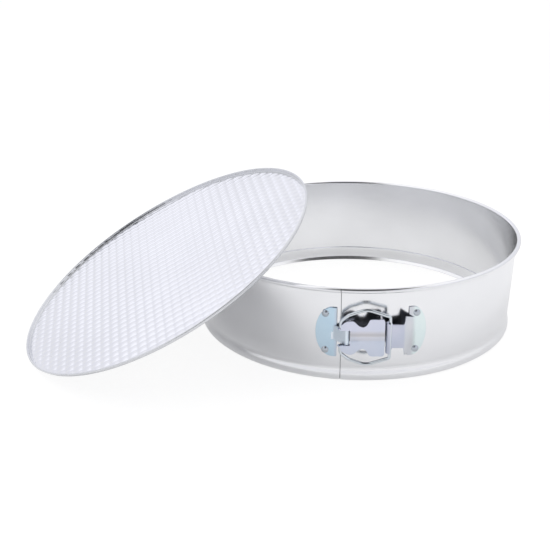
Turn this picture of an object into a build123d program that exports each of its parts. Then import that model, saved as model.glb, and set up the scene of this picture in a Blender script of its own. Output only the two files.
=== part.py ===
from build123d import *
import math
import os

# Springform pan with its latch closed, and its loose base plate leaning on the rim.
# Millimetres, +Z up.  The origin is on the band's axis, on the surface that the band stands on.
# The front is -Y.  Azimuths are degrees from the front, growing towards +X.
# A section's middle line is a list of moves: (length, 0) runs straight on, and
# (radius, angle) turns, to the left where the angle is positive.

# Sheets and wire
BAND_SHEET = 0.4
BASE_SHEET = 0.4
BRACKET_SHEET = 1.0
LEVER_SHEET = 1.0
WIRE_RADIUS = 1.2

# Band
RIM_RADIUS = 130.0            # outer face of the wall where it meets the bead
BAND_HEIGHT = 76.0
WALL_LEAN = 2.7               # degrees outward
RIM_BEAD_RADIUS = 1.85        # outer radius of the roll
RIM_BEAD_TURN = 300.0
GROOVE_TOP = 11.0             # height where the straight wall begins
GROOVE_DEPTH = 1.4
GROOVE_SLOPE = 45.0
FOOT_CORNER_RADIUS = 1.4
LIP_WIDTH = 2.2               # flat inward lip, past the corner

# Ends of the band
SEAM_AZIMUTH = -4.0
SEAM_GAP = 0.3
LAP_END_AZIMUTH = 14.0        # where the inner end of the left half stops
LAP_GAP = 0.3                 # between the two layers
LAP_STEP_LENGTH = 1.0
BACK_AZIMUTH = 180.0

# Base plate
BASE_GAP = 1.0                # around its rolled edge, when it lies in the groove
BASE_EDGE_HEIGHT = 3.3
BASE_CORNER_RADIUS = 0.8
BASE_BEAD_RADIUS = 0.75
BASE_BEAD_TURN = 290.0
BASE_TILT = 29.0              # degrees from level
BASE_LEAN_AZIMUTH = -71.6     # where its low side points
BASE_SIDE_SHIFT = 10.0        # along the rim, away from the lean line
REST_GAP = 0.3                # between the base plate and the rim bead

# Latch as a whole
LATCH_AZIMUTH = 4.0
LATCH_HEIGHT = 40.0
PIN_ACROSS = -14.0            # lever pin, along the band from the latch azimuth
PIN_STANDOFF = 7.7            # lever pin, out from the band
BAIL_CRANK = 4.5              # from the lever pin to the bail's ends
OVER_CENTRE = 0.4             # how far the bail's ends stand outside the lever pin
HOOK_ACROSS = 17.0
HOOK_STANDOFF = 9.3

# Fits
RUNNING_GAP = 0.05
SIDE_GAP = 0.4
HOOK_GAP = 0.9

# Lever pin and rivets
PIN_RADIUS = 1.0
PIN_HEAD_RADIUS = 1.4
PIN_HEAD_HEIGHT = 0.7
RIVET_RADIUS = 1.4
RIVET_HEAD_RADIUS = 2.7
RIVET_HEAD_HEIGHT = 1.3
RIVET_INNER_HEAD_HEIGHT = 0.6
RIVET_SEAT_GAP = 0.04         # a flat head on the hollow side of the band
RIVET_DROP = 5.1              # from a bracket plate's top, and as far from its foot

# Bracket plates: a straight inner side and a half-oval outer side
PLATE_HALF_HEIGHT = 19.8
LEFT_PLATE_INNER = -20.7
LEFT_PLATE_CENTRE = -24.0
LEFT_PLATE_BULGE = 12.0
LEFT_RIVET_SHIFT = 5.0        # from the oval's centre towards its edge
RIGHT_PLATE_INNER = 31.0
RIGHT_PLATE_CENTRE = 34.0
RIGHT_PLATE_BULGE = 10.4
RIGHT_RIVET_SHIFT = 2.8

# Tongues of the brackets
LEFT_TONGUE_HALF_HEIGHT = 5.8
LEFT_TONGUE_SLOPE = 50.0
KNUCKLE_TURN = 280.0
RIGHT_TONGUE_HALF_HEIGHT = 9.3
RIGHT_TONGUE_SLOPE = 50.0
RIGHT_TONGUE_BEND = 27.0      # where the tongue turns down to the band
RIGHT_TONGUE_BEND_RADIUS = 1.5
RIGHT_FLARE = 28.8            # pointed wings above and below the riser
RIGHT_FLARE_HALF_HEIGHT = 18.0
RIGHT_FLARE_TIP_WIDTH = 0.8
RIGHT_FLARE_END = 31.2
RIGHT_FOOT_HALF_HEIGHT = 11.0
HOOK_HALF_HEIGHT = 11.8
HOOK_ARM_END = 18.6           # where the taller hook meets the tongue
HOOK_TURN = 180.0

# Lever
LEVER_LIFT = 1.7              # from the pin's axis to the plate's inner face
LEVER_END = 13.2
LEVER_START = -18.6
LEVER_HEEL_HALF_HEIGHT = 9.8
LEVER_THROAT = -11.4          # the plate's middle starts here, clear of the knuckle
LEVER_HALF_HEIGHT = 14.4
LEVER_LOBE_HALF_HEIGHT = 13.0
LEVER_LOBE_END = -8.6
LEVER_WAIST = -3.0
LEVER_WAIST_HALF_HEIGHT = 8.8
LEVER_GRIP_START = 2.4
LEVER_CORNER_RADIUS = 2.0
EAR_RADIUS = 2.1
EAR_END = -8.0

# Bail
BAIL_HEEL_HALF_HEIGHT = 12.5
BAIL_HEEL_RADIUS = 4.0
BAIL_SHOULDER = 5.8           # along the bail, from its ends
BAIL_SHOULDER_HALF_HEIGHT = 17.3
BAIL_SHOULDER_RADIUS = 6.0
BAIL_CROWN = 18.5             # where its top turns down towards the hook, from the ends
BAIL_CROWN_HALF_HEIGHT = 21.9
BAIL_CROWN_RADIUS = 12.0
BAIL_HOOK_HALF_HEIGHT = 16.3
BAIL_CORNER_RADIUS = 2.2


def sin(degrees):
    return math.sin(math.radians(degrees))


def cos(degrees):
    return math.cos(math.radians(degrees))


def path_edges(start, heading, moves, offset):
    """Edges of a middle line, moved to its right-hand side by offset."""
    point = Vector(start[0] + offset * sin(heading), start[1] - offset * cos(heading))
    edges = []
    for size, turn in moves:
        if turn == 0:
            end = point + Vector(size * cos(heading), size * sin(heading))
            edges.append(Line(point, end))
            point = end
            continue
        side = math.copysign(1, turn)
        radius = size + side * offset
        centre = point + Vector(-side * radius * sin(heading), side * radius * cos(heading))
        edges.append(CenterArc(centre, radius, heading - side * 90, turn))
        heading += turn
        point = centre + Vector(side * radius * sin(heading), -side * radius * cos(heading))
    return edges


def sheet_face(start, heading, moves, left, right):
    """Section between two lines that run to the left and right of a middle line."""
    inner = path_edges(start, heading, moves, -left)
    outer = path_edges(start, heading, moves, right)
    caps = [Line(inner[0] @ 0, outer[0] @ 0), Line(inner[-1] @ 1, outer[-1] @ 1)]
    return make_face(inner + outer + caps)


def spin(face, first_azimuth, last_azimuth):
    """Turn a section, drawn as radius and height, about the band's axis."""
    turned = revolve(Plane.XZ * face, Axis.Z, last_azimuth - first_azimuth)
    return Rot(0, 0, first_azimuth - 90) * turned


# Middle line of the band's section, from the lip's edge to the rim
half_sheet = BAND_SHEET / 2
roll_radius = RIM_BEAD_RADIUS - half_sheet
wall_heading = 90 - WALL_LEAN
wall_end_height = BAND_HEIGHT - half_sheet - roll_radius * (1 - cos(wall_heading))
wall_end_radius = RIM_RADIUS - half_sheet
wall_foot_radius = wall_end_radius - (wall_end_height - GROOVE_TOP) * math.tan(math.radians(WALL_LEAN))
wall_length = (wall_end_height - GROOVE_TOP) / cos(WALL_LEAN)
groove_bend = GROOVE_DEPTH / (1 + cos(WALL_LEAN) - 2 * cos(GROOVE_SLOPE))
groove_bend_height = groove_bend * (2 * sin(GROOVE_SLOPE) + sin(WALL_LEAN))
groove_wall_height = GROOVE_TOP - groove_bend_height - half_sheet - FOOT_CORNER_RADIUS
groove_radius = wall_foot_radius + GROOVE_DEPTH
lip_start = (groove_radius - FOOT_CORNER_RADIUS - LIP_WIDTH, half_sheet)

band_moves = [
    (LIP_WIDTH, 0),
    (FOOT_CORNER_RADIUS, 90),
    (groove_wall_height, 0),
    (groove_bend, GROOVE_SLOPE),
    (groove_bend, -(GROOVE_SLOPE + WALL_LEAN)),
    (wall_length, 0),
]
bead_moves = [(roll_radius, -RIM_BEAD_TURN)]


def band_radius(height):
    """Outer radius of the straight wall at a height."""
    lean = (height - GROOVE_TOP) * math.tan(math.radians(WALL_LEAN))
    return wall_foot_radius + half_sheet / cos(WALL_LEAN) + lean


def make_bands():
    """The band's two halves.  They meet at the back and lap at the front."""
    gap_angle = math.degrees(SEAM_GAP / RIM_RADIUS)
    step_angle = math.degrees(LAP_STEP_LENGTH / RIM_RADIUS)
    section = sheet_face(lip_start, 0, band_moves + bead_moves, half_sheet, half_sheet)
    right_half = spin(section, SEAM_AZIMUTH + gap_angle / 2, BACK_AZIMUTH)
    left_end = SEAM_AZIMUTH - gap_angle / 2
    left_half = spin(section, BACK_AZIMUTH - 360, left_end)
    lap_outer = -(half_sheet + LAP_GAP)
    lap_inner = BAND_SHEET - lap_outer
    step_section = sheet_face(lip_start, 0, band_moves, lap_inner, half_sheet)
    lap_section = sheet_face(lip_start, 0, band_moves, lap_inner, lap_outer)
    step = spin(step_section, left_end - step_angle, left_end)
    lap = spin(lap_section, left_end - step_angle, LAP_END_AZIMUTH)
    return left_half + step + lap, right_half


def make_base():
    """Tray with a turned-up edge that ends in a roll, leaning on the rim bead."""
    half = BASE_SHEET / 2
    roll = BASE_BEAD_RADIUS - half
    outside = groove_radius - half_sheet - BASE_GAP
    edge_radius = outside - 2 * BASE_BEAD_RADIUS + half
    floor_radius = edge_radius - BASE_CORNER_RADIUS
    corner_height = half + BASE_CORNER_RADIUS
    edge_rise = BASE_EDGE_HEIGHT - half - roll - corner_height
    moves = [
        (floor_radius, 0),
        (BASE_CORNER_RADIUS, 90),
        (edge_rise, 0),
        (roll, -BASE_BEAD_TURN),
    ]
    tray = spin(sheet_face((0, half), 0, moves, half, half), 0, 360)
    corner = BASE_CORNER_RADIUS + half
    rise = floor_radius * sin(BASE_TILT) - corner_height * cos(BASE_TILT) + corner
    bead_radius = wall_end_radius + roll_radius * sin(wall_heading)
    bead_height = BAND_HEIGHT - RIM_BEAD_RADIUS
    clear = RIM_BEAD_RADIUS + REST_GAP
    reach = bead_radius + ((bead_height - rise) * cos(BASE_TILT) + clear) / sin(BASE_TILT)
    leaning = Pos(reach, BASE_SIDE_SHIFT, rise) * Rot(0, BASE_TILT, 0) * tray
    return Rot(0, 0, BASE_LEAN_AZIMUTH - 90) * leaning


def band_out(across):
    """How far the band's outer face stands out from its axis, at the latch height."""
    return math.sqrt(band_radius(LATCH_HEIGHT) ** 2 - across ** 2)


# Latch space: X along the band, Y up and Z out from the band's axis
latch_across = (cos(LATCH_AZIMUTH), sin(LATCH_AZIMUTH), 0)
latch_out = (sin(LATCH_AZIMUTH), -cos(LATCH_AZIMUTH), 0)
latch_space = Plane(origin=(0, 0, LATCH_HEIGHT), x_dir=latch_across, z_dir=latch_out)
pin_out = band_out(PIN_ACROSS) + PIN_STANDOFF
hook_out = band_out(HOOK_ACROSS) + HOOK_STANDOFF
bail_end = Vector(PIN_ACROSS - BAIL_CRANK, pin_out + OVER_CENTRE)
pin_point = Vector(PIN_ACROSS, pin_out)
hook_point = Vector(HOOK_ACROSS, hook_out)
plate_radius = band_radius(LATCH_HEIGHT) + BRACKET_SHEET / 2
ear_inner = LEFT_TONGUE_HALF_HEIGHT + SIDE_GAP
ear_outer = ear_inner + LEVER_SHEET


def from_above(face, half_height):
    """Thicken a face that is drawn as across and out, both ways along the height."""
    return extrude(Plane.XZ * face, half_height, both=True)


def from_front(face):
    """A prism through the whole latch from a face drawn as across and up."""
    return extrude(face, 2 * hook_out)


def mirrored(points):
    """Face whose upper outline is given from left to right and whose lower one mirrors it."""
    lower = [(across, -up) for across, up in reversed(points)]
    return make_face(Polyline(*points, *lower, close=True))


def run_back(point, heading, radius):
    """Length from a point, against a heading, to a circle about the band's axis."""
    along = point.X * cos(heading) + point.Y * sin(heading)
    return along - math.sqrt(along ** 2 - point.length ** 2 + radius ** 2)


def plate(inner, centre, bulge):
    """D-shaped plate that follows the band."""
    side = math.copysign(1, centre - inner)
    section = sheet_face((wall_foot_radius, GROOVE_TOP), wall_heading, [(wall_length, 0)],
                         -half_sheet, half_sheet + BRACKET_SHEET)
    sweep = math.degrees(2 * (abs(centre) + bulge) / RIM_RADIUS)
    shell = spin(section, LATCH_AZIMUTH - sweep, LATCH_AZIMUTH + sweep)
    oval = Pos(centre, 0) * Ellipse(bulge, PLATE_HALF_HEIGHT)
    oval &= Pos(centre + side * bulge / 2, 0) * Rectangle(bulge, 2 * PLATE_HALF_HEIGHT)
    neck = Pos((inner + centre) / 2, 0) * Rectangle(abs(centre - inner), 2 * PLATE_HALF_HEIGHT)
    return shell & (latch_space.location * from_front(oval + neck))


def band_core():
    """The space inside the band's outer face, which the tongues stay out of."""
    core = Cone(band_radius(GROOVE_TOP), band_radius(BAND_HEIGHT), BAND_HEIGHT - GROOVE_TOP)
    return Pos(0, 0, (BAND_HEIGHT + GROOVE_TOP) / 2) * core


def make_left_bracket():
    """Plate with a tongue that rises to a knuckle round the lever pin."""
    knuckle = PIN_RADIUS + BRACKET_SHEET / 2
    lift = LEFT_TONGUE_SLOPE
    tangent = pin_point + Vector(-knuckle * sin(lift), knuckle * cos(lift))
    run = run_back(tangent, lift, plate_radius)
    start = tangent - Vector(run * cos(lift), run * sin(lift))
    half = BRACKET_SHEET / 2
    profile = sheet_face((start.X, start.Y), lift, [(run, 0), (knuckle, -KNUCKLE_TURN)], half, half)
    tongue = latch_space.location * from_above(profile, LEFT_TONGUE_HALF_HEIGHT)
    body = plate(LEFT_PLATE_INNER, LEFT_PLATE_CENTRE, LEFT_PLATE_BULGE)
    return body + (tongue - band_core())


def make_hook_bracket():
    """Plate with a stand-off tongue that ends in a J-shaped hook for the bail."""
    half = BRACKET_SHEET / 2
    curl = WIRE_RADIUS + HOOK_GAP + half
    slope = RIGHT_TONGUE_SLOPE
    bend = RIGHT_TONGUE_BEND_RADIUS
    tongue_out = hook_out - curl
    bend_start = Vector(RIGHT_TONGUE_BEND + bend * sin(slope), tongue_out - bend * (1 - cos(slope)))
    heading = 180 - slope
    run = run_back(bend_start, heading, plate_radius)
    start = bend_start - Vector(run * cos(heading), run * sin(heading))
    moves = [(run, 0), (bend, slope), (RIGHT_TONGUE_BEND - HOOK_ACROSS, 0), (curl, -HOOK_TURN)]
    profile = sheet_face((start.X, start.Y), heading, moves, half, half)
    outline = mirrored([
        (HOOK_ACROSS - 2 * curl, HOOK_HALF_HEIGHT),
        (HOOK_ARM_END, HOOK_HALF_HEIGHT),
        (HOOK_ARM_END, RIGHT_TONGUE_HALF_HEIGHT),
        (RIGHT_TONGUE_BEND, RIGHT_TONGUE_HALF_HEIGHT),
        (RIGHT_FLARE, RIGHT_FLARE_HALF_HEIGHT),
        (RIGHT_FLARE + RIGHT_FLARE_TIP_WIDTH, RIGHT_FLARE_HALF_HEIGHT),
        (RIGHT_FLARE_END, RIGHT_FOOT_HALF_HEIGHT),
        (start.X + BRACKET_SHEET, RIGHT_FOOT_HALF_HEIGHT),
    ])
    tongue = from_above(profile, RIGHT_FLARE_HALF_HEIGHT) & from_front(outline)
    body = plate(RIGHT_PLATE_INNER, RIGHT_PLATE_CENTRE, RIGHT_PLATE_BULGE)
    return body + (latch_space.location * tongue - band_core())


def rivet(across, up):
    """Rivet through a bracket and the band: domed outside, flat inside."""
    dome_radius = (RIVET_HEAD_RADIUS ** 2 + RIVET_HEAD_HEIGHT ** 2) / (2 * RIVET_HEAD_HEIGHT)
    dome_top = BRACKET_SHEET + RIVET_HEAD_HEIGHT
    dome = Pos(0, 0, dome_top - dome_radius) * Sphere(dome_radius)
    collar = Cylinder(RIVET_HEAD_RADIUS, RIVET_HEAD_HEIGHT)
    dome &= Pos(0, 0, BRACKET_SHEET + RIVET_HEAD_HEIGHT / 2) * collar
    inner_face = BAND_SHEET + RIVET_SEAT_GAP
    inner_head = Cylinder(RIVET_HEAD_RADIUS, RIVET_INNER_HEAD_HEIGHT)
    inner_head = Pos(0, 0, -inner_face - RIVET_INNER_HEAD_HEIGHT / 2) * inner_head
    shank = rivet_shank(inner_face, BRACKET_SHEET)
    return rivet_place(across, up) * (dome + shank + inner_head)


def rivet_shank(depth, reach):
    """Straight shank from below the band's outer face to above it."""
    return Pos(0, 0, (reach - depth) / 2) * Cylinder(RIVET_RADIUS, reach + depth)


def rivet_place(across, up):
    """Location on the band's outer face, with Z square to the wall."""
    radius = band_radius(LATCH_HEIGHT + up)
    azimuth = LATCH_AZIMUTH + math.degrees(math.asin(across / radius))
    on_wall = Pos(0, 0, LATCH_HEIGHT + up) * Rot(0, 0, azimuth) * Pos(0, -radius, 0)
    return on_wall * Rot(90 + WALL_LEAN, 0, 0)


def rivet_places(across):
    """The two rivets of a bracket, as across and up."""
    rise = PLATE_HALF_HEIGHT - RIVET_DROP
    return [(across, rise), (across, -rise)]


def drill(solid, across):
    """Cut the two rivet holes of a bracket, through whatever lies there."""
    for place in rivet_places(across):
        solid -= rivet_place(*place) * rivet_shank(2 * BRACKET_SHEET, 2 * BRACKET_SHEET)
    return solid


def make_lever():
    """Waisted plate with two ears that turn on the pin and carry the bail."""
    lobes = mirrored([
        (LEVER_START, LEVER_HEEL_HALF_HEIGHT),
        (LEVER_THROAT, LEVER_LOBE_HALF_HEIGHT),
        (LEVER_LOBE_END, LEVER_LOBE_HALF_HEIGHT),
        (LEVER_WAIST, LEVER_WAIST_HALF_HEIGHT),
        (LEVER_GRIP_START, LEVER_HALF_HEIGHT),
        (LEVER_END - LEVER_CORNER_RADIUS, LEVER_HALF_HEIGHT),
        (LEVER_END, LEVER_HALF_HEIGHT - LEVER_CORNER_RADIUS),
    ])
    throat_width = LEVER_THROAT - LEVER_START
    throat = Pos(LEVER_START + throat_width / 2, 0) * Rectangle(throat_width, 2 * ear_inner)
    plate_face = Pos(0, 0, pin_out + LEVER_LIFT) * (lobes - throat)
    body = extrude(plate_face, LEVER_SHEET)
    roof = pin_out + LEVER_LIFT + LEVER_SHEET / 2
    outline = Pos(pin_point.X, pin_point.Y) * Circle(EAR_RADIUS)
    outline += Pos(bail_end.X, bail_end.Y) * Circle(EAR_RADIUS)
    roof_corners = [(LEVER_START, roof), (EAR_END, roof), (pin_point.X, pin_point.Y)]
    outline += make_face(Polyline(*roof_corners, close=True))
    outline = make_hull(outline.edges())
    outline -= Pos(pin_point.X, pin_point.Y) * Circle(PIN_RADIUS + RUNNING_GAP)
    outline -= Pos(bail_end.X, bail_end.Y) * Circle(WIRE_RADIUS + RUNNING_GAP)
    ear = extrude(Plane.XZ * outline, LEVER_SHEET)
    body += Pos(0, ear_outer, 0) * ear
    body += Pos(0, -ear_inner, 0) * ear
    return latch_space.location * body


def make_pin():
    """Lever pin with a head at each end, outside the lever's ears."""
    reach = ear_outer + RUNNING_GAP
    shank = Cylinder(PIN_RADIUS, 2 * reach)
    head = Cylinder(PIN_HEAD_RADIUS, PIN_HEAD_HEIGHT)
    shift = reach + PIN_HEAD_HEIGHT / 2
    pin = shank + Pos(0, 0, shift) * head + Pos(0, 0, -shift) * head
    return latch_space.location * Pos(PIN_ACROSS, 0, pin_out) * Rot(90, 0, 0) * pin


def make_bail():
    """Wire loop, open at the lever, with its ends in the lever's ears."""
    reach = hook_point - bail_end
    tilt = math.degrees(math.atan2(reach.Y, reach.X))
    upper = [
        (0, ear_inner),
        (0, BAIL_HEEL_HALF_HEIGHT),
        (BAIL_SHOULDER, BAIL_SHOULDER_HALF_HEIGHT),
        (BAIL_CROWN, BAIL_CROWN_HALF_HEIGHT),
        (reach.length, BAIL_HOOK_HALF_HEIGHT),
    ]
    lower = [(across, -up) for across, up in reversed(upper)]
    radii = [BAIL_HEEL_RADIUS, BAIL_SHOULDER_RADIUS, BAIL_CROWN_RADIUS, BAIL_CORNER_RADIUS]
    path = FilletPolyline(*upper, *lower, radius=radii + radii[::-1])
    end = Plane(origin=path @ 0, z_dir=path % 0)
    wire = sweep(end * Circle(WIRE_RADIUS), path)
    return latch_space.location * Pos(bail_end.X, 0, bail_end.Y) * Rot(0, -tilt, 0) * wire


left_band, right_band = make_bands()
left_rivet_across = LEFT_PLATE_CENTRE - LEFT_RIVET_SHIFT
right_rivet_across = RIGHT_PLATE_CENTRE + RIGHT_RIVET_SHIFT
left_rivets = [rivet(*place) for place in rivet_places(left_rivet_across)]
right_rivets = [rivet(*place) for place in rivet_places(right_rivet_across)]

nodes = {
    "band_left": drill(left_band, left_rivet_across),
    "band_right": drill(right_band, right_rivet_across),
    "base_plate": make_base(),
    "latch_bracket": drill(make_left_bracket(), left_rivet_across),
    "hook_bracket": drill(make_hook_bracket(), right_rivet_across),
    "latch_rivets": Compound(children=left_rivets),
    "hook_rivets": Compound(children=right_rivets),
    "lever": make_lever(),
    "lever_pin": make_pin(),
    "bail": make_bail(),
}

for name, shape in nodes.items():
    export_step(shape, f"parts/{name}.step")
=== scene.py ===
import math

import bpy
import numpy as np
from bpy.props import FloatProperty, FloatVectorProperty, IntProperty, PointerProperty
from mathutils import Matrix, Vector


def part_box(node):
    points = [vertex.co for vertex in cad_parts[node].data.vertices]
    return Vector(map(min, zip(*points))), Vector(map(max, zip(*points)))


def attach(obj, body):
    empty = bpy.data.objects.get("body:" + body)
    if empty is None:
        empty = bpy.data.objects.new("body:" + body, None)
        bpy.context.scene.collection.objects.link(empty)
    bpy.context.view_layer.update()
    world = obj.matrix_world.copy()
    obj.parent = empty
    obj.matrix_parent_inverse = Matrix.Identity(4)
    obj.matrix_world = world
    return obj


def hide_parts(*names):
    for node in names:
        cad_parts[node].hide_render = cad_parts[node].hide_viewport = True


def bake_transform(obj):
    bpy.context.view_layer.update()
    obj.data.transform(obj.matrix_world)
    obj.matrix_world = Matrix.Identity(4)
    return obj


bl_info = {
    "name": "Springform Pan",
    "version": (1, 0, 0),
    "blender": (4, 5, 0),
    "location": "View3D > Sidebar > Springform Pan",
    "description": "Builds a tinplate springform pan with its latch and its loose waffled base",
    "category": "Add Mesh",
}

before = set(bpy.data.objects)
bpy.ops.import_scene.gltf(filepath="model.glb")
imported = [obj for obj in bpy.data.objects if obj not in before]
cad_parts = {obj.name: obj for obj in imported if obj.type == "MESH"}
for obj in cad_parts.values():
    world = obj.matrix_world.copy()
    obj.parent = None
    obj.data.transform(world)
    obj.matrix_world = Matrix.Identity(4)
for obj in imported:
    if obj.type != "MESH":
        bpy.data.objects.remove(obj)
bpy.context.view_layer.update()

# The origin is on the band's axis, on the surface that the band stands on, with +Z up.
# Azimuths are measured from the front, -Y, and grow towards +X.
# Latch space is (across, up, out): along the band, up, and away from the band's axis.
FRONT_RIM = -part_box("band_right")[0].y        # outermost radius of the rim bead
PAN_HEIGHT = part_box("band_right")[1].z

ARC_STEP = math.radians(7.5)
SUPPORT = 0.0003                              # extra points this far from the ends of a run
HAIR = 0.00002                                # clear space between faces that would touch
SHARP_ANGLE = math.radians(50)

# Parts of the latch that fit each other
PIN_RADIUS = 0.001
PIN_HEAD_RADIUS = 0.0014
TONGUE_SLOPE = math.radians(50)
TONGUE_BEND = 0.0015
HINGE_TONGUE_HALF = 0.0058
KNUCKLE_TURN = math.radians(280)
EAR_INNER = HINGE_TONGUE_HALF + 0.0004        # the lever's ears clear the hinge's tongue
HOOK_HALF = 0.0118

# Outlines as places and half heights: the catch's pointed wings and the bail's bends in metres
# along the latch, and the lever's plate in millimetres
CATCH_FLARE = [(0.0316, 0.0110), (0.0312, 0.0110), (0.0296, 0.0180), (0.0288, 0.0180),
               (0.0270, 0.0093)]
BAIL_BENDS = [(0, 0.0125), (0.0058, 0.0173), (0.0185, 0.0219)]
LEVER_TOP = [(-18.6, 8.6), (-18.3, 9.6), (-17.4, 10.6), (-15.6, 11.9), (-13.6, 12.8),
             (-12.0, 13.1), (-10.4, 13.0), (-8.8, 12.4), (-6.6, 10.5), (-4.6, 9.05),
             (-2.7, 8.5), (-1.0, 9.0), (0.5, 10.6), (1.6, 12.7), (2.5, 13.9), (4.0, 14.35),
             (8.0, 14.4), (11.4, 14.4), (12.6, 13.9), (13.2, 12.6)]

# Studio: colours of the sky by height, as light and in mirror images, and the share of plain white
# glow in the floor's mirror images, which falls from inside the ring to outside it: painted light
# that brightens the metal's mirror images of the floor inside the ring
LOW_SKY = [(0.0, (0.88, 0.88, 0.90)), (0.12, (0.855, 0.86, 0.90)), (0.36, (0.845, 0.85, 0.91))]
LIGHTING_SKY = [(0.60, (1.25, 1.25, 1.29)), (1.0, (2.5, 2.5, 2.5))]
MIRRORED_SKY = [(0.60, (0.98, 0.98, 1.01)), (1.0, (1.12, 1.12, 1.12))]
FLOOR_MIRRORED = {"start": 0.12, "end": 0.16, "low": 0.38, "high": 0.20}


def length(name, description, default):
    """A size in metres."""
    return FloatProperty(name=name, description=description, default=default, unit="LENGTH",
                         subtype="DISTANCE", precision=5)


def angle(name, description, degrees):
    """An angle, given in degrees and held in radians."""
    return FloatProperty(name=name, description=description, default=math.radians(degrees),
                         unit="ROTATION", subtype="ANGLE")


def factor(name, description, default):
    """A plain number from 0 to 1."""
    return FloatProperty(name=name, description=description, default=default, min=0, max=1,
                         subtype="FACTOR")


def colour(name, description, default):
    """A colour in linear light."""
    return FloatVectorProperty(name=name, description=description, default=default, size=3,
                               min=0, max=1, subtype="COLOR")


class BandSizes(bpy.types.PropertyGroup):
    """Sizes of the pan's wall."""
    sheet: length("Sheet", "Thickness of the tinplate", 0.0004)
    bead: length("Rim Bead", "Outer radius of the rolled rim", 0.00185)
    bead_turn: angle("Rim Roll", "How far round the rim is rolled", 300)
    lean: angle("Wall Lean", "How far the wall leans outwards", 2.7)
    groove_top: length("Groove Top", "Height where the straight wall begins", 0.013)
    groove_depth: length("Groove Depth", "How far the groove for the base stands out", 0.001)
    groove_slope: angle("Groove Slope", "Steepest slope of the groove's shoulder", 20)
    crease: angle("Crease", "How far the wall turns in above the groove's shoulder", 20)
    crease_radius: length("Crease Radius", "Radius of the crease's bends", 0.0025)
    corner: length("Foot Corner", "Radius between the wall and the inward lip", 0.0014)
    lip: length("Lip", "Width of the inward lip", 0.0025)
    lip_slope: angle("Lip Slope", "How far the lip slopes down to the pan's opening", 40)
    seam: angle("Seam", "Azimuth of the visible seam", -4)
    seam_gap: length("Seam Gap", "Clear width of the seam", 0.0005)
    lap_end: angle("Lap End", "Azimuth where the inner layer of the lap stops", 14)
    lap_gap: length("Lap Gap", "Clear space between the lap's two layers", 0.0003)
    lap_step: length("Lap Step", "Length of the step down to the inner layer", 0.001)
    columns: IntProperty(name="Columns", description="Steps round half the band", default=360,
                         min=36, max=720)


class BaseSizes(bpy.types.PropertyGroup):
    """Sizes of the loose base plate, and how it leans."""
    sheet: length("Sheet", "Thickness of the tinplate", 0.0004)
    gap: length("Groove Gap", "Clear space round the base when it lies in the band", 0.000694)
    edge: length("Edge Height", "Height of the turned-up edge", 0.0033)
    corner: length("Corner", "Radius between the floor and the edge", 0.0008)
    bead: length("Edge Bead", "Outer radius of the edge's roll", 0.00075)
    bead_turn: angle("Edge Roll", "How far round the edge is rolled", 290)
    tilt: angle("Tilt", "Slope of the leaning base", 29)
    lean: angle("Lean Azimuth", "Where the base's low side points", -71.6)
    shift: length("Side Shift", "How far the base lies along the rim", 0.010)
    rest_gap: length("Rest Gap", "Clear space between the base and the rim bead", 0.0003)
    pitch: length("Waffle Pitch", "Distance between the pillows of the waffle pattern", 0.00745)
    depth: length("Waffle Depth", "Height of the pillows", 0.00062)
    turn: angle("Waffle Turn", "Direction of the pattern's rows on the plate", -6.2)
    plain: length("Plain Margin", "Width over which the pattern fades at the edge", 0.0018)
    samples: IntProperty(name="Samples", description="Grid steps across one pillow", default=7,
                         min=4, max=12)
    columns: IntProperty(name="Columns", description="Steps round the edge", default=720,
                         min=72, max=1440)


class LatchSizes(bpy.types.PropertyGroup):
    """Sizes of the latch."""
    azimuth: angle("Latch Azimuth", "Middle of the latch, from the front", 4)
    height: length("Latch Height", "Middle of the latch above the table", 0.040)
    sheet: length("Sheet", "Thickness of the brackets and the lever", 0.001)
    edge: length("Edge Rounding", "Radius of the sheet's tumbled edges", 0.00028)
    wire: length("Wire Radius", "Radius of the bail's wire", 0.0012)
    pin_across: length("Pin Across", "Lever pin, along the band", -0.014)
    pin_standoff: length("Pin Stand-off", "Lever pin, out from the band", 0.0077)
    crank: length("Bail Crank", "From the lever pin to the bail's ends", 0.0045)
    over_centre: length("Over Centre", "Bail's ends outside the lever pin", 0.0004)
    hook_across: length("Hook Across", "Bail's far side, along the band", 0.017)
    hook_standoff: length("Hook Stand-off", "Bail's far side, out from the band", 0.0093)
    hook_gap: length("Hook Gap", "Clear space between the wire and the hook", 0.0009)
    plate_half: length("Plate Half Height", "Half the height of a bracket's plate", 0.0198)
    rivet_head: length("Rivet Head", "Radius of a rivet's head", 0.0027)
    rivet_rise: length("Rivet Head Height", "Height of a rivet's domed head", 0.0013)
    rivet_drop: length("Rivet Drop", "From a plate's top or foot to its rivet", 0.0051)
    lever_lift: length("Lever Lift", "From the pin's axis to the lever's inner face", 0.0017)
    crease: length("Lever Rib", "Height of the rib along the lever", 0.00045)
    streak: length("Lever Streak", "Depth of the short groove under the rib", 0.00022)


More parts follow.
